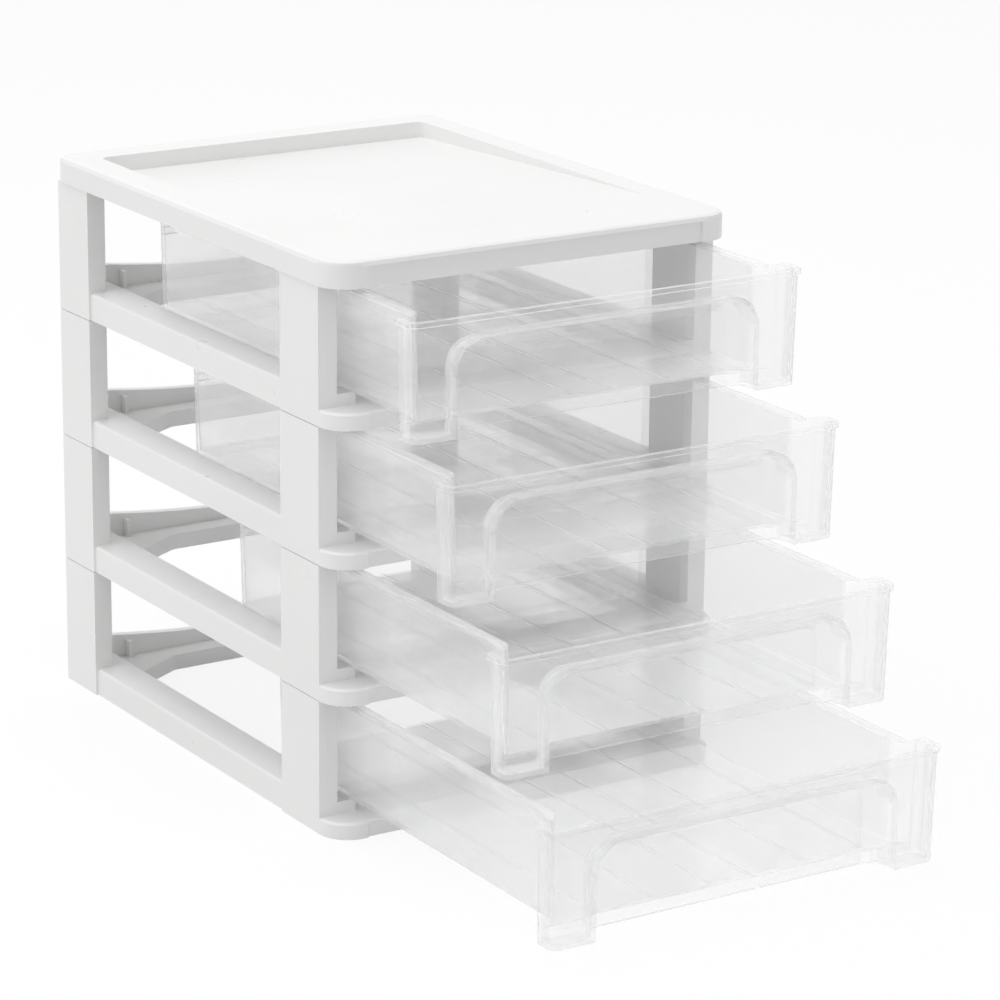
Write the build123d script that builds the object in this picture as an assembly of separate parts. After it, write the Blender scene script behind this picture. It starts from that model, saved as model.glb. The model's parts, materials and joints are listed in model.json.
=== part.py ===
from build123d import *
import math
import os

# Desktop tower of mini drawers: four stacked tiers of white plastic, a lid with a
# shallow tray on top, and four clear drawers that slide out to the front.
# Millimetres. X = 0 is the plane of symmetry, Y = 0 the front face of the front posts
# (the drawers pull out towards -Y), Z = 0 the surface that the tower stands on.

# ---- Clearances
running_gap = 0.3  # between a drawer and the frame, at the rails and at its stops
peg_gap = 0.2  # round each stacking peg in its socket
overcut = 1.0  # how far a cutting solid runs past the face that it opens

# ---- Tier
tier_count = 4
tier_pitch = 57.0  # height that a tier adds to the stack
frame_width = 188.0  # across the outer faces of the posts
frame_depth = 225.0  # front face of the front posts to back face of the back posts
frame_wall = 2.0
front_post = (8.9, 30.5)  # width in X, depth in Y
back_post = (8.3, 27.5)
post_outer_radius = 3.5
peg_height = 6.0
peg_chamfer = 0.8
rail_setback = 1.0  # rail's outer face behind the posts' outer faces
rail_width = 16.0
rail_height = 12.0
edge_radius = 1.4  # rounding of the rails' outer upper edges
edge_chamfer = 0.9  # breaks the upper edge of the front ledge and its ears
ledge_height = 7.0  # ears, front rail and back shelf
ear_reach = 13.5  # ears in front of the posts
ear_width = 15.0
ear_radius = 13.0
front_rail_setback = 1.0  # front rail's face behind the ears
front_rail_back = 18.0  # rear edge of the front rail
opening_radius = 6.0
shelf_front = 210.0  # front edge of the back shelf at its middle
shelf_half_middle = 48.0
shelf_corner_front = 193.0  # front edge of the back shelf at the rails
back_wall = 4.0
back_rim_height = 17.5
back_rim_low = 12.6  # bottom of the scooped rim
back_scoop_half = 72.0
back_rib_x = 66.3
back_rib = (1.6, 4.0)  # width, projection
back_rib_top = 14.6
stiffener = 2.0  # ribs under the front rail
stiffener_bays = 4

# ---- Lid
lid_height = 11.0
lid_overhang = 1.0  # past the posts, at the sides and the back
lid_back_radius = 7.0
lid_edge_radius = 2.2
lid_lip_height = 2.5  # lip between the lid's front corners
tray_half_width = 81.0
tray_front = 33.0  # where the tray's floor reaches the top surface
tray_back = 210.0
tray_depth = 7.0  # at the back
tray_radius = 4.0

# ---- Drawer
drawer_wall = 1.4
drawer_length = 227.0
drawer_base = 7.6  # underside of the front's wings above the tier's base
drawer_top = 55.3
box_half_width = 79.0  # at the height of the wings' underside
wing_half_width = 90.0
side_draft = 1.4  # degrees, sides leaning outwards
wing_depth = 12.0
wing_front_radius = 4.0
wing_back_radius = 2.6
flare_radius = 7.0
box_back_radius = 6.0
recess_half_width = 70.5
recess_height = 38.5
recess_depth = 12.0
arch_radius = 13.0
recess_back_radius = 7.0
bead = 1.2  # projection of the rim bead on the front
bead_height = 2.0
flange = 3.8  # projection of the rim flange round the box
floor_rib_x = (9.0, 36.0, 63.0)  # each side of the middle
floor_rib = (1.0, 0.6)  # width, height
stop_tab_size = 3.0
stop_tab_below_top = 4.1
stop_tab_bite = 1.4  # how far the tab reaches across the post's rear face
drawer_pulls = (153.7, 120.3, 81.3, 53.1)  # bottom to top, as pulled out at rest

# ---- Sizes that follow
half_width = frame_width / 2
rail_outer = half_width - rail_setback
rail_inner = rail_outer - rail_width
ear_inner = half_width - ear_width
front_post_inner = half_width - front_post[0]
stack_height = tier_count * tier_pitch
box_base = rail_height + running_gap
closed_front = -(wing_depth + running_gap)
draft_slope = math.tan(math.radians(side_draft))
stop_tab_back = frame_depth - back_post[1] - running_gap - closed_front
stop_tab_tip = front_post_inner + stop_tab_bite


def outline(corners, radii):
    """Flat face inside a closed outline whose corners have the given radii."""
    return make_face(FilletPolyline(corners, radius=radii, close=True))


def slab(x_min, x_max, y_min, y_max, z_min, z_max):
    """Box between opposite corners."""
    size = (x_max - x_min, y_max - y_min, z_max - z_min)
    return Pos(x_min, y_min, z_min) * Box(*size, align=(Align.MIN, Align.MIN, Align.MIN))


def prism(face, z_min, z_max):
    """Plan outline raised between two heights."""
    return Pos(0, 0, z_min) * extrude(face, z_max - z_min)


def upright(face, y_min, y_max):
    """Outline drawn in X and Z, run back between two depths."""
    return Pos(0, y_max, 0) * Rot(90, 0, 0) * extrude(face, y_max - y_min)


def eased_prism(face, height, radius, axis):
    """Face raised along its axis, its far rim rounded off in two drafted steps."""
    body = extrude(face, height - radius)
    first_share = math.sin(math.radians(45))
    for share, draft in ((first_share, 22.5), (1 - first_share, 67.5)):
        end = body.faces().sort_by(axis)[-1]
        body += extrude(end, share * radius, taper=draft)
    return body


def both_sides(solid):
    """The solid and its mirror image across the plane of symmetry."""
    return [solid, mirror(solid, about=Plane.YZ)]


# ---- Frame: tiers and lid


def post(front, z_min, z_max, inset=0.0):
    """Right-hand front or back post between two heights, drawn in by inset all round."""
    width, length = front_post if front else back_post
    y_min = 0.0 if front else frame_depth - length
    y_max = y_min + length
    bar = slab(
        half_width - width + inset,
        half_width - inset,
        y_min + inset,
        y_max - inset,
        z_min,
        z_max,
    )
    if inset:
        return bar
    outer = bar.edges().filter_by(Axis.Z).group_by(Axis.X)[-1]
    return fillet(outer, post_outer_radius)


def front_ledge_plan(inset=0.0):
    """Plan of the front rail and the two rounded ears that reach out past the posts."""
    ear_front = -ear_reach + inset
    rail_front = -ear_reach + front_rail_setback + inset
    side = half_width - inset
    step = ear_inner
    rear = front_rail_back - inset
    radius = ear_radius - inset
    corners = [
        (-side, rear),
        (-side, ear_front),
        (-step, ear_front),
        (-step + front_rail_setback, rail_front),
        (step - front_rail_setback, rail_front),
        (step, ear_front),
        (side, ear_front),
        (side, rear),
    ]
    return outline(corners, [0, radius, 0, 0, 0, 0, radius, 0])


def shelf_plan(inset=0.0):
    """Plan of the back shelf, whose front edge runs forward to meet the side rails."""
    side = rail_inner + frame_wall / 2 - inset / 2
    rear = frame_depth - back_wall if inset else frame_depth
    corners = [
        (-side, rear),
        (-side, shelf_corner_front + inset),
        (-shelf_half_middle, shelf_front + inset),
        (shelf_half_middle, shelf_front + inset),
        (side, shelf_corner_front + inset),
        (side, rear),
    ]
    return outline(corners, [0, 0, opening_radius, opening_radius, 0, 0])


def side_rail():
    """Right-hand rail that carries the drawer, with its outer upper edge rounded."""
    bar = slab(rail_inner, rail_outer, 0, frame_depth, 0, rail_height)
    upper = bar.edges().filter_by(Axis.Y).group_by(Axis.Z)[-1]
    return fillet(upper.sort_by(Axis.X)[-1], edge_radius)


def back_panel():
    """Low wall across the back with a scooped rim and two ribs on its front face."""
    side = half_width - back_post[0] + frame_wall / 2
    rim = Polyline(
        (-back_scoop_half, back_rim_height),
        (-side, back_rim_height),
        (-side, 0),
        (side, 0),
        (side, back_rim_height),
        (back_scoop_half, back_rim_height),
    )
    scoop = ThreePointArc(
        (back_scoop_half, back_rim_height),
        (0, back_rim_low),
        (-back_scoop_half, back_rim_height),
    )
    front = frame_depth - back_wall
    panel = upright(make_face(rim + scoop), front, frame_depth)
    width, projection = back_rib
    rib = slab(
        back_rib_x - width / 2,
        back_rib_x + width / 2,
        front - projection,
        front,
        ledge_height - frame_wall / 2,
        back_rib_top,
    )
    return panel + both_sides(rib)


def front_ledge_hollow():
    """Bays under the front rail and ears, divided by stiffening ribs."""
    hollow = prism(front_ledge_plan(frame_wall), -overcut, ledge_height - frame_wall)
    under_posts = slab(
        rail_inner, half_width, -stiffener / 2, front_rail_back, -overcut, ledge_height
    )
    hollow -= both_sides(under_posts)
    lengthwise = slab(
        -half_width, half_width, -stiffener / 2, stiffener / 2, -overcut, ledge_height
    )
    hollow -= lengthwise
    bay = 2 * rail_inner / stiffener_bays
    for index in range(stiffener_bays + 1):
        x = -rail_inner + index * bay
        cross = slab(
            x - stiffener / 2, x + stiffener / 2, -ear_reach, front_rail_back, -overcut, ledge_height
        )
        hollow -= cross
    return hollow


def side_rail_hollow():
    """Channel under the right-hand rail, narrow beside the posts and wide between them."""
    inner = rail_inner + frame_wall
    beside_post = front_post_inner - frame_wall / 2
    outer = rail_outer - frame_wall
    front = front_post[1] + frame_wall
    back = frame_depth - back_post[1] - frame_wall
    corners = [
        (inner, frame_wall),
        (beside_post, frame_wall),
        (beside_post, front),
        (outer, front),
        (outer, back),
        (beside_post, back),
        (beside_post, frame_depth - frame_wall),
        (inner, frame_depth - frame_wall),
    ]
    plan = outline(corners, [0] * len(corners))
    return prism(plan, -overcut, rail_height - frame_wall)


def stacking_peg(front):
    """Peg on top of the right-hand post, which the part above drops over."""
    peg = post(
        front, tier_pitch - frame_wall / 2, tier_pitch + peg_height, frame_wall + peg_gap
    )
    return chamfer(peg.faces().sort_by(Axis.Z)[-1].edges(), peg_chamfer)


def make_tier():
    """One tier: base ring with rails, ledge and shelf, and the four posts with their pegs."""
    ledge = prism(front_ledge_plan(), 0, ledge_height)
    rim = ledge.faces().sort_by(Axis.Z)[-1].edges().sort_by(Axis.Y)[:-1]
    ledge = chamfer(rim, edge_chamfer)
    tier = ledge + prism(shelf_plan(), 0, ledge_height) + back_panel()
    tier += both_sides(side_rail())
    for front in (True, False):
        tier += both_sides(post(front, 0, tier_pitch))
    tier -= front_ledge_hollow()
    tier -= prism(shelf_plan(frame_wall), -overcut, ledge_height - frame_wall)
    tier -= both_sides(side_rail_hollow())
    for front in (True, False):
        tier -= both_sides(post(front, -overcut, tier_pitch - frame_wall, frame_wall))
        tier += both_sides(stacking_peg(front))
    return tier


def lid_plan(inset=0.0):
    """Plan of the lid, drawn in by inset."""
    side = half_width + lid_overhang - inset
    front = -ear_reach + inset
    back = frame_depth + lid_overhang - inset
    corners = [(-side, front), (side, front), (side, back), (-side, back)]
    front_radius = ear_radius - inset
    back_radius = lid_back_radius - inset
    return outline(corners, [front_radius, front_radius, back_radius, back_radius])


def tray_space(margin=0.0):
    """Space above the lid's sloping tray floor, widened and lowered by margin."""
    top = stack_height + lid_height
    profile = Polyline(
        (tray_front, top - margin),
        (tray_back + margin, top - tray_depth - margin),
        (tray_back + margin, top + overcut),
        (tray_front, top + overcut),
        close=True,
    )
    side = tray_half_width + margin
    wedge = Pos(-side, 0, 0) * extrude(Plane.YZ * make_face(profile), 2 * side)
    corners = [
        (-side, tray_front),
        (side, tray_front),
        (side, tray_back + margin),
        (-side, tray_back + margin),
    ]
    radius = tray_radius + margin
    plan = outline(corners, [0, 0, radius, radius])
    return wedge & prism(plan, stack_height, top + overcut)


def make_lid():
    """Lid: a shallow hollow shell with a tray on top and sockets for the posts' pegs."""
    top = stack_height + lid_height
    lid = Pos(0, 0, stack_height) * eased_prism(lid_plan(), lid_height, lid_edge_radius, Axis.Z)
    setback = slab(
        -ear_inner,
        ear_inner,
        -ear_reach - overcut,
        -ear_reach + front_rail_setback,
        stack_height - overcut,
        top - lid_lip_height,
    )
    hollow = prism(lid_plan(frame_wall), stack_height - overcut, top - frame_wall)
    hollow -= tray_space(frame_wall)
    hollow -= Pos(0, front_rail_setback + frame_wall, 0) * setback
    lid -= hollow
    lid -= tray_space()
    lid -= setback
    for front in (True, False):
        socket_top = stack_height + peg_height + peg_gap
        lid += both_sides(post(front, stack_height, top - frame_wall / 2))
        lid -= both_sides(post(front, stack_height - overcut, socket_top, frame_wall))
    return lid


# ---- Drawer, drawn with its front face at Y = 0 and its tier's base at Z = 0


def leaning(half, inset, y_min, y_max, z_min, z_max):
    """Block whose sides lean outwards with the draft, from half its width at the base."""
    low = half + (z_min - drawer_base) * draft_slope - inset
    high = half + (z_max - drawer_base) * draft_slope - inset
    section = Polyline((-low, z_min), (low, z_min), (high, z_max), (-high, z_max), close=True)
    return upright(make_face(section), y_min, y_max)


def round_uprights(body, half, y, radius):
    """Round the upright edges that stand nearest to X = half and X = -half at depth y."""
    uprights = body.edges().filter_by(lambda edge: edge.bounding_box().size.Z > tier_pitch / 2)
    places = [Vector(side * half, y, (drawer_base + drawer_top) / 2) for side in (-1, 1)]
    chosen = [uprights.sort_by(lambda edge: (edge.center() - place).length)[0] for place in places]
    return fillet(chosen, radius)


def drafted(inset, z_min, z_max):
    """The box and its winged front, drawn in by inset, between two heights."""
    shoulder = wing_depth - inset
    back = drawer_length - inset
    body = leaning(box_half_width, inset, inset, back, z_min, z_max)
    body += leaning(wing_half_width, inset, inset, shoulder, z_min, z_max)
    body = round_uprights(body, box_half_width, shoulder, flare_radius + inset)
    body = round_uprights(body, box_half_width, back, box_back_radius - inset)
    body = round_uprights(body, wing_half_width, inset, wing_front_radius - inset)
    return round_uprights(body, wing_half_width, shoulder, wing_back_radius - inset)


def finger_recess(growth=0.0):
    """Arched recess of the front, grown by the wall thickness for its lining."""
    side = recess_half_width + growth
    top = drawer_base + recess_height + growth
    ease = recess_back_radius + growth
    low = drawer_base - ease - overcut
    corners = [(-side, low), (side, low), (side, top), (-side, top)]
    radius = arch_radius + growth
    arch = outline(corners, [0, 0, radius, radius])
    facing_back = Plane(origin=(0, -overcut, 0), x_dir=(-1, 0, 0), z_dir=(0, 1, 0))
    depth = overcut + recess_depth + growth
    return eased_prism(facing_back * arch, depth, ease, Axis.Y)


def drawer_hollow():
    """Inside of the box and of the two wings, which open into each other."""
    hollow = drafted(drawer_wall, drawer_base + drawer_wall, drawer_top + overcut)
    floor = slab(
        -wing_half_width,
        wing_half_width,
        wing_depth - drawer_wall,
        drawer_length,
        0,
        box_base + drawer_wall,
    )
    return hollow - floor - finger_recess(drawer_wall)


def drawer_rim():
    """Bead along the front and the wings' ends, and the flange round the box."""
    lean = (drawer_top - drawer_base) * draft_slope
    end = wing_half_width + lean + bead
    corners = [(-end, -bead), (end, -bead), (end, wing_depth), (-end, wing_depth)]
    front_corner = wing_front_radius + bead
    radii = [front_corner, front_corner, wing_back_radius, wing_back_radius]
    lip = prism(outline(corners, radii), drawer_top - bead_height, drawer_top)
    side = box_half_width + lean + flange
    corners = [
        (-side, wing_depth - drawer_wall),
        (side, wing_depth - drawer_wall),
        (side, drawer_length + flange),
        (-side, drawer_length + flange),
    ]
    corner = box_back_radius + flange
    edge = prism(outline(corners, [0, 0, corner, corner]), drawer_top - drawer_wall, drawer_top)
    opening = drafted(drawer_wall, drawer_base + drawer_wall, drawer_top + overcut)
    return lip + edge - opening


def floor_ribs():
    """Fine lengthwise ribs on the drawer's floor."""
    width, height = floor_rib
    floor = box_base + drawer_wall
    front = recess_depth + drawer_wall / 2
    back = drawer_length - drawer_wall / 2
    ribs = []
    for x in floor_rib_x:
        rib = slab(
            x - width / 2, x + width / 2, front, back, floor - drawer_wall / 2, floor + height
        )
        ribs += both_sides(rib)
    return ribs


def stop_tab():
    """Right-hand tab under the flange, which stops the drawer at the posts."""
    z = drawer_top - stop_tab_below_top
    wall_middle = box_half_width + (z - drawer_base) * draft_slope - drawer_wall / 2
    y_min = stop_tab_back - stop_tab_size
    return slab(wall_middle, stop_tab_tip, y_min, stop_tab_back, z - stop_tab_size, z)


def make_drawer():
    """One clear drawer: a thin-walled box with a winged, recessed front."""
    body = drafted(0, drawer_base, drawer_top)
    under_box = slab(
        -wing_half_width, wing_half_width, wing_depth, 2 * drawer_length, 0, box_base
    )
    body -= under_box - finger_recess(drawer_wall)
    body -= drawer_hollow()
    body -= finger_recess()
    body += drawer_rim()
    body += floor_ribs()
    body += both_sides(stop_tab())
    return body


os.makedirs("parts", exist_ok=True)
tier = make_tier()
for level in range(tier_count):
    stacked = Pos(0, 0, level * tier_pitch) * tier
    export_step(stacked, f"parts/frame_tier_{level + 1}.step")
export_step(make_lid(), "parts/top_tray_lid.step")
drawer = make_drawer()
for level, pull in enumerate(drawer_pulls):
    place = Pos(0, closed_front - pull, level * tier_pitch)
    export_step(place * drawer, f"parts/drawer_{level + 1}.step")
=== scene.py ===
import json
import math

import bmesh
import bpy
from mathutils import Matrix, Vector

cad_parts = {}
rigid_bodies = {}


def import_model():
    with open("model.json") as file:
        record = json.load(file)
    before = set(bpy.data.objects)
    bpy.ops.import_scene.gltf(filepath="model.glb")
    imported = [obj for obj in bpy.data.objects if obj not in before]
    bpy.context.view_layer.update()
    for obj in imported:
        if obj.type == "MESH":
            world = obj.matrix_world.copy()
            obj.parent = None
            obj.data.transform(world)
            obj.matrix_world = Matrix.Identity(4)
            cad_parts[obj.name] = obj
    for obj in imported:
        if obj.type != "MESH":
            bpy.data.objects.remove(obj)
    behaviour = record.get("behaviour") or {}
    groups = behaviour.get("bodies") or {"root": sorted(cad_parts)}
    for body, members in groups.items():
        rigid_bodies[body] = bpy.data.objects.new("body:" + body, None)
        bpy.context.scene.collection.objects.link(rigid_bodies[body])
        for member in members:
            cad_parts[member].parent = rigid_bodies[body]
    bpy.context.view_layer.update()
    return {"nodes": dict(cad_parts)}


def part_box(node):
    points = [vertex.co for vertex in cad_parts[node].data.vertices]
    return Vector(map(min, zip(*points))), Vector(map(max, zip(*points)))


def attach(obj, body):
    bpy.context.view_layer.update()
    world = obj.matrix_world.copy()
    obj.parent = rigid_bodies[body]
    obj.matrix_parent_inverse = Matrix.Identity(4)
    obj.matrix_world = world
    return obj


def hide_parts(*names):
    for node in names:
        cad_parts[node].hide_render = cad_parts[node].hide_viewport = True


# Desktop tower of mini drawers: a white plastic frame of four stacked tiers with a lid,
# and four clear drawers. Metres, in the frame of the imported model: X = 0 is the plane of
# symmetry, -Y the front, Z = 0 the surface that the tower stands on.

# ---- Camera, at the photograph's viewing angle
camera_place = Vector((-0.86166, -1.33217, 0.59964))
camera_azimuth = math.radians(-32.6228)
camera_elevation = math.radians(16.5977)
camera_roll = math.radians(0.6215)
camera_lens = 146.28  # millimetres
sensor_width = 36.0

# ---- Stage and light
floor_radius = 8.0
floor_sides = 96
floor_shade = 0.82
floor_white = 1.05  # strength at which the floor shows as white
floor_white_share = 0.8
world_fill = 0.64
top_lamp = {"place": (-0.4, 0.3, 2.2), "size": 2.0, "watts": 20.0}
left_lamp = {"place": (-2.0, 0.5, 0.9), "size": 1.5, "watts": 4.5}
lamp_aim = Vector((0.0, 0.08, 0.12))

light_bounces = 32  # enough to see through all four clear drawers

# ---- Posts, whose outer corners are sharp on the object and rounded in the solids
tier_pitch = 0.057  # height that a tier adds to the stack
seam = 0.0003  # height of the line that shows between one tier's posts and the next
post_corner = 0.0035  # radius in the solids
post_faces = (  # Y of each post's front and back face, and which way the face looks
    (0.0, -1),
    (0.0305, 1),
    (0.1975, -1),
    (0.225, 1),
)
post_inner = 0.0851  # X of the front posts' inner faces
post_ease = 0.0004  # leans the front posts' inner faces clear of the closed drawer
rail_side = 0.093  # X of the rails' outer faces
rail_top = 0.012  # above the tier's base
grain = 0.00005  # how near a vertex lies to a plane or an arc that it belongs to

# ---- Finish
edge_break = 0.0004  # small rounding on every moulded edge
edge_steps = 2
sharp_from = math.radians(32)
weld_within = 0.00001
no_shift = (0.0, 1.0)  # levels of a value that is used as it comes

# Noise is given as scale, detail and, where it isn't the usual one, roughness;
# bump as strength and distance; tints and roughness as the two ends of their variation.
white_finish = {
    "ior": 1.49,
    "tints": ((0.875, 0.875, 0.870), (0.905, 0.905, 0.900)),
    "tint_noise": (9.0, 4.0),
    "roughness": (0.27, 0.40),
    "roughness_noise": (38.0, 6.0, 0.6),
    "wave_noise": (90.0, 2.0),
    "wave_bump": (0.12, 0.0006),
}
pebble_noise = (1400.0, 2.0)
pebble_bump = (0.04, 0.00015)
clear_finish = {
    "ior": 1.5,
    "tints": ((0.955, 0.96, 0.96), (0.975, 0.98, 0.98)),
    "tint_noise": (14.0, 3.0),
    "roughness": (0.06, 0.14),
    "roughness_noise": (60.0, 5.0, 0.6),
    "wave_noise": (45.0, 2.0),
    "wave_bump": (0.03, 0.0003),
}
clear_transmission = 0.5  # the rest of the body is milk
clear_body = (0.13, 0.9)  # share of light that each surface holds back, face and edge on
clear_facing = (0.15, 0.9)  # facing values at which that share starts and stops to rise
clear_facing_blend = 0.35
clear_shadow = 0.2  # share of its body that casts shadow


def empty_scene():
    """Remove whatever the start-up file holds."""
    for thing in list(bpy.data.objects):
        bpy.data.objects.remove(thing)


# ---- Materials


def new_material(name):
    """Material with an empty node tree and its output."""
    material = bpy.data.materials.new(name)
    material.use_nodes = True
    tree = material.node_tree
    tree.nodes.clear()
    output = tree.nodes.new("ShaderNodeOutputMaterial")
    return material, tree, output


def noise(tree, scale, detail, roughness=0.5):
    """Noise in the object's own coordinates."""
    place = tree.nodes.new("ShaderNodeTexCoord")
    texture = tree.nodes.new("ShaderNodeTexNoise")
    texture.inputs["Scale"].default_value = scale
    texture.inputs["Detail"].default_value = detail
    texture.inputs["Roughness"].default_value = roughness
    tree.links.new(place.outputs["Object"], texture.inputs["Vector"])
    return texture.outputs["Fac"]


def spread(tree, value, low, high, from_low=0.3, from_high=0.7):
    """A 0 to 1 value spread between two levels."""
    levels = tree.nodes.new("ShaderNodeMapRange")
    levels.inputs["From Min"].default_value = from_low
    levels.inputs["From Max"].default_value = from_high
    levels.inputs["To Min"].default_value = low
    levels.inputs["To Max"].default_value = high
    tree.links.new(value, levels.inputs["Value"])
    return levels.outputs["Result"]


def blend_colours(tree, value, first, second):
    """Colour between two colours by a value."""
    mix = tree.nodes.new("ShaderNodeMix")
    mix.data_type = "RGBA"
    mix.inputs["A"].default_value = (*first, 1.0)
    mix.inputs["B"].default_value = (*second, 1.0)
    tree.links.new(value, mix.inputs["Factor"])
    return mix.outputs["Result"]


def bump(tree, height, strength, distance, below=None):
    """Normal from a height, over another bump's normal where there is one."""
    node = tree.nodes.new("ShaderNodeBump")
    node.inputs["Strength"].default_value = strength
    node.inputs["Distance"].default_value = distance
    tree.links.new(height, node.inputs["Height"])
    if below is not None:
        tree.links.new(below, node.inputs["Normal"])
    return node.outputs["Normal"]


def moulded_plastic(name, finish):
    """Plastic whose tint and gloss vary a little, with the faint waves of its moulding."""
    material, tree, output = new_material(name)
    shader = tree.nodes.new("ShaderNodeBsdfPrincipled")
    shader.inputs["IOR"].default_value = finish["ior"]
    tint = spread(tree, noise(tree, *finish["tint_noise"]), *no_shift)
    colour = blend_colours(tree, tint, *finish["tints"])
    tree.links.new(colour, shader.inputs["Base Color"])
    gloss = spread(tree, noise(tree, *finish["roughness_noise"]), *finish["roughness"])
    tree.links.new(gloss, shader.inputs["Roughness"])
    tree.links.new(shader.outputs["BSDF"], output.inputs["Surface"])
    waves = bump(tree, noise(tree, *finish["wave_noise"]), *finish["wave_bump"])
    return material, tree, shader, waves


def white_plastic():
    """Injection-moulded white polypropylene: satin, faintly pebbled, lightly handled."""
    material, tree, shader, waves = moulded_plastic("white_plastic_moulded", white_finish)
    pebbles = bump(tree, noise(tree, *pebble_noise), *pebble_bump, waves)
    tree.links.new(pebbles, shader.inputs["Normal"])
    return material


def clear_plastic():
    """Clear polystyrene, slightly milky.

    It lets most light straight through where it is seen face on, and shows more of its
    own body where it is seen edge on.
    """
    material, tree, shader, waves = moulded_plastic("clear_plastic_moulded", clear_finish)
    shader.inputs["Transmission Weight"].default_value = clear_transmission
    tree.links.new(waves, shader.inputs["Normal"])
    facing = tree.nodes.new("ShaderNodeLayerWeight")
    facing.inputs["Blend"].default_value = clear_facing_blend
    body = spread(tree, facing.outputs["Facing"], *clear_body, *clear_facing)
    path = tree.nodes.new("ShaderNodeLightPath")
    shadow = spread(tree, path.outputs["Is Shadow Ray"], 1.0, clear_shadow, *no_shift)
    alpha = tree.nodes.new("ShaderNodeMath")
    alpha.operation = "MULTIPLY"
    tree.links.new(body, alpha.inputs[0])
    tree.links.new(shadow, alpha.inputs[1])
    tree.links.new(alpha.outputs["Value"], shader.inputs["Alpha"])
    return material


def rays_that_see_white(tree):
    """1 for camera, glossy and transmission rays, 0 for the rays that light the object."""
    path = tree.nodes.new("ShaderNodeLightPath")
    total = path.outputs["Is Camera Ray"]
    for kind in ("Is Glossy Ray", "Is Transmission Ray"):
        larger = tree.nodes.new("ShaderNodeMath")
        larger.operation = "MAXIMUM"
        tree.links.new(total, larger.inputs[0])
        tree.links.new(path.outputs[kind], larger.inputs[1])
        total = larger.outputs["Value"]
    return total


def floor_material():
    """Pale matt floor that reads as white to the camera and keeps the object's shadow."""
    material, tree, output = new_material("studio_floor")
    matt = tree.nodes.new("ShaderNodeBsdfDiffuse")
    matt.inputs["Color"].default_value = (floor_shade, floor_shade, floor_shade, 1.0)
    white = tree.nodes.new("ShaderNodeEmission")
    white.inputs["Strength"].default_value = floor_white
    share = tree.nodes.new("ShaderNodeMath")
    share.operation = "MULTIPLY"
    share.inputs[1].default_value = floor_white_share
    tree.links.new(rays_that_see_white(tree), share.inputs[0])
    mix = tree.nodes.new("ShaderNodeMixShader")
    tree.links.new(share.outputs["Value"], mix.inputs["Fac"])
    tree.links.new(matt.outputs["BSDF"], mix.inputs[1])
    tree.links.new(white.outputs["Emission"], mix.inputs[2])
    tree.links.new(mix.outputs["Shader"], output.inputs["Surface"])
    return material


# ---- Object


def dress(node, material):
    """Rounded edges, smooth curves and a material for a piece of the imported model."""
    mesh = node.data
    mesh.materials.clear()
    mesh.materials.append(material)
    weld = node.modifiers.new("weld", "WELD")
    weld.merge_threshold = weld_within
    rounding = node.modifiers.new("edges", "BEVEL")
    rounding.width = edge_break
    rounding.segments = edge_steps
    rounding.limit_method = "ANGLE"
    rounding.angle_limit = sharp_from
    rounding.harden_normals = True
    normals = node.modifiers.new("normals", "WEIGHTED_NORMAL")
    normals.keep_sharp = True


def square_posts(node):
    """Copy of a tier with its posts' outer corners squared and a fine seam over them."""
    low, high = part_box(node.name)
    shape = bmesh.new()
    shape.from_mesh(node.data)
    for vertex in shape.verts:
        place = vertex.co
        if abs(place.z - low[2] - tier_pitch) < grain:
            place.z -= seam
        side = abs(place.x)
        if abs(side - post_inner) < grain and abs(place.y) < grain:
            place.x += math.copysign(post_ease, place.x)
        across = side - (high[0] - post_corner)
        for face_y, looks in post_faces:
            along = (place.y - face_y) * looks + post_corner
            on_arc = abs(math.hypot(across, along) - post_corner) < grain
            if across > grain and along > grain and on_arc:
                beside_rail = place.z - low[2] < rail_top + grain and side < rail_side + grain
                place.x = math.copysign(side if beside_rail else high[0], place.x)
                place.y = face_y
    bmesh.ops.remove_doubles(shape, verts=shape.verts, dist=weld_within)
    bmesh.ops.dissolve_degenerate(shape, edges=shape.edges, dist=grain)
    for face in shape.faces:
        face.smooth = True
    mesh = bpy.data.meshes.new(node.name + "_moulding")
    shape.to_mesh(mesh)
    shape.free()
    tier = bpy.data.objects.new(node.name + "_moulding", mesh)
    bpy.context.scene.collection.objects.link(tier)
    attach(tier, "frame")
    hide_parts(node.name)
    return tier


# ---- Stage


def make_floor():
    """Round floor, wide enough to fill the view."""
    bpy.ops.mesh.primitive_circle_add(vertices=floor_sides, radius=floor_radius, fill_type="NGON")
    floor = bpy.context.object
    floor.name = "floor"
    floor.data.materials.append(floor_material())


def make_lamp(name, lamp):
    """Square soft box aimed at the object."""
    data = bpy.data.lights.new(name, "AREA")
    data.shape = "SQUARE"
    data.size = lamp["size"]
    data.energy = lamp["watts"]
    light = bpy.data.objects.new(name, data)
    light.location = lamp["place"]
    aim = lamp_aim - light.location
    light.rotation_euler = aim.to_track_quat("-Z", "Y").to_euler()
    bpy.context.scene.collection.objects.link(light)


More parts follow.
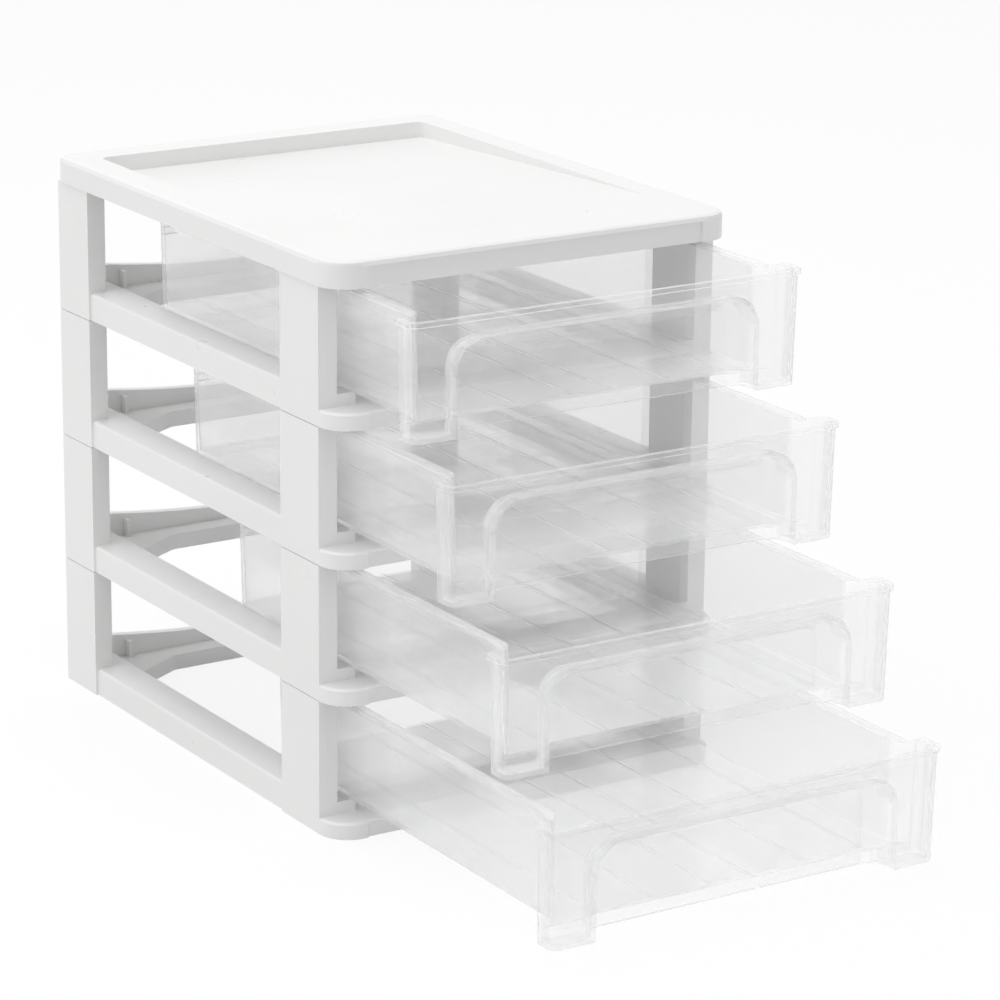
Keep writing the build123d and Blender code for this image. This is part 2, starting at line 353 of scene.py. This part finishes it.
def make_world():
    """Even fill light, white to camera, reflections and clear plastic."""
    world = bpy.data.worlds.new("studio")
    bpy.context.scene.world = world
    world.use_nodes = True
    tree = world.node_tree
    tree.nodes.clear()
    output = tree.nodes.new("ShaderNodeOutputWorld")
    fill = tree.nodes.new("ShaderNodeBackground")
    fill.inputs["Color"].default_value = (1.0, 1.0, 1.0, 1.0)
    fill.inputs["Strength"].default_value = world_fill
    white = tree.nodes.new("ShaderNodeBackground")
    white.inputs["Color"].default_value = (1.0, 1.0, 1.0, 1.0)
    mix = tree.nodes.new("ShaderNodeMixShader")
    tree.links.new(rays_that_see_white(tree), mix.inputs["Fac"])
    tree.links.new(fill.outputs["Background"], mix.inputs[1])
    tree.links.new(white.outputs["Background"], mix.inputs[2])
    tree.links.new(mix.outputs["Shader"], output.inputs["Surface"])


def make_camera():
    """Camera at the photograph's viewpoint."""
    flat = math.cos(camera_elevation)
    back = Vector(
        (
            math.sin(camera_azimuth) * flat,
            -math.cos(camera_azimuth) * flat,
            math.sin(camera_elevation),
        )
    )
    right = (-back).cross(Vector((0, 0, 1))).normalized()
    up = right.cross(-back)
    cosine, sine = math.cos(camera_roll), math.sin(camera_roll)
    axes = (cosine * right + sine * up, cosine * up - sine * right, back)
    data = bpy.data.cameras.new("camera")
    data.lens = camera_lens
    data.sensor_width = sensor_width
    camera = bpy.data.objects.new("camera", data)
    turn = Matrix(axes).transposed().to_4x4()
    camera.matrix_world = Matrix.Translation(camera_place) @ turn
    bpy.context.scene.collection.objects.link(camera)
    bpy.context.scene.camera = camera


empty_scene()
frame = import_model()

white = white_plastic()
clear = clear_plastic()
for name, node in frame["nodes"].items():
    if name.startswith("drawer"):
        dress(node, clear)
    elif name.startswith("frame_tier"):
        dress(square_posts(node), white)
    else:
        dress(node, white)

make_floor()
make_lamp("top_soft_box", top_lamp)
make_lamp("left_soft_box", left_lamp)
make_world()
make_camera()
scene = bpy.context.scene
scene.view_settings.view_transform = "Standard"
scene.cycles.max_bounces = light_bounces
scene.cycles.transmission_bounces = light_bounces
scene.cycles.transparent_max_bounces = light_bounces
